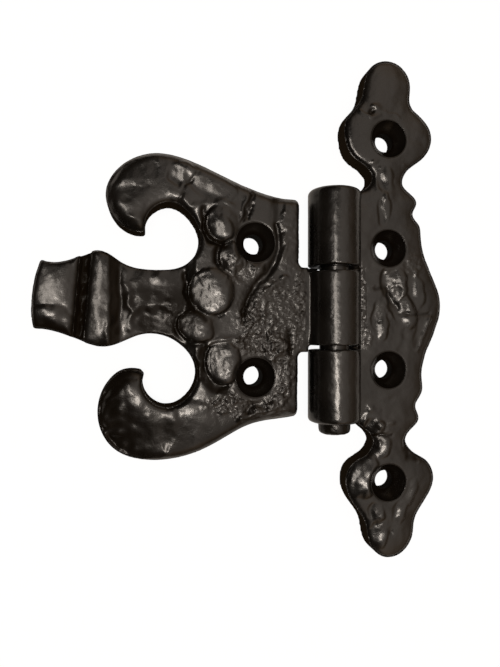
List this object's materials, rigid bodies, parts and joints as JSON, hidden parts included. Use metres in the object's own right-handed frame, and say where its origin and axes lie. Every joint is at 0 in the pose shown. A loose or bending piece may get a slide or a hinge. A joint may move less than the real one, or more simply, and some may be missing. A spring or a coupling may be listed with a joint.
{
  "type": "fleur-de-lis butterfly hinge",
  "caption": "Black cast iron ornamental hinge: a fleur-de-lis leaf with scrolls turns on a pin beside a lobed strap leaf, both with countersunk screw holes.",
  "frame": {"origin": "middle of the strap leaf's screw line, on the flat back face", "axes": "+X from the pin towards the strap leaf's outer edge, +Y along the pin away from its head, +Z out of the back face towards the viewer"},
  "size_m": [0.1003, 0.1275, 0.013],
  "materials": {
    "black_iron": "semi-gloss black lacquer over hammered cast iron",
    "pin_steel": "black lacquer over a steel pin"
  },
  "bodies": {
    "frame": {"frame_leaf": "black_iron", "hinge_pin": "pin_steel"},
    "door": {"door_leaf": "black_iron"}
  },
  "joints": [
    {"name": "leaf_swing", "type": "hinge", "parent": "frame", "child": "door", "pos_m": [-0.015, 0, 0.0065], "axis": [0, 1, 0], "range_deg": [0, 170]}
  ]
}
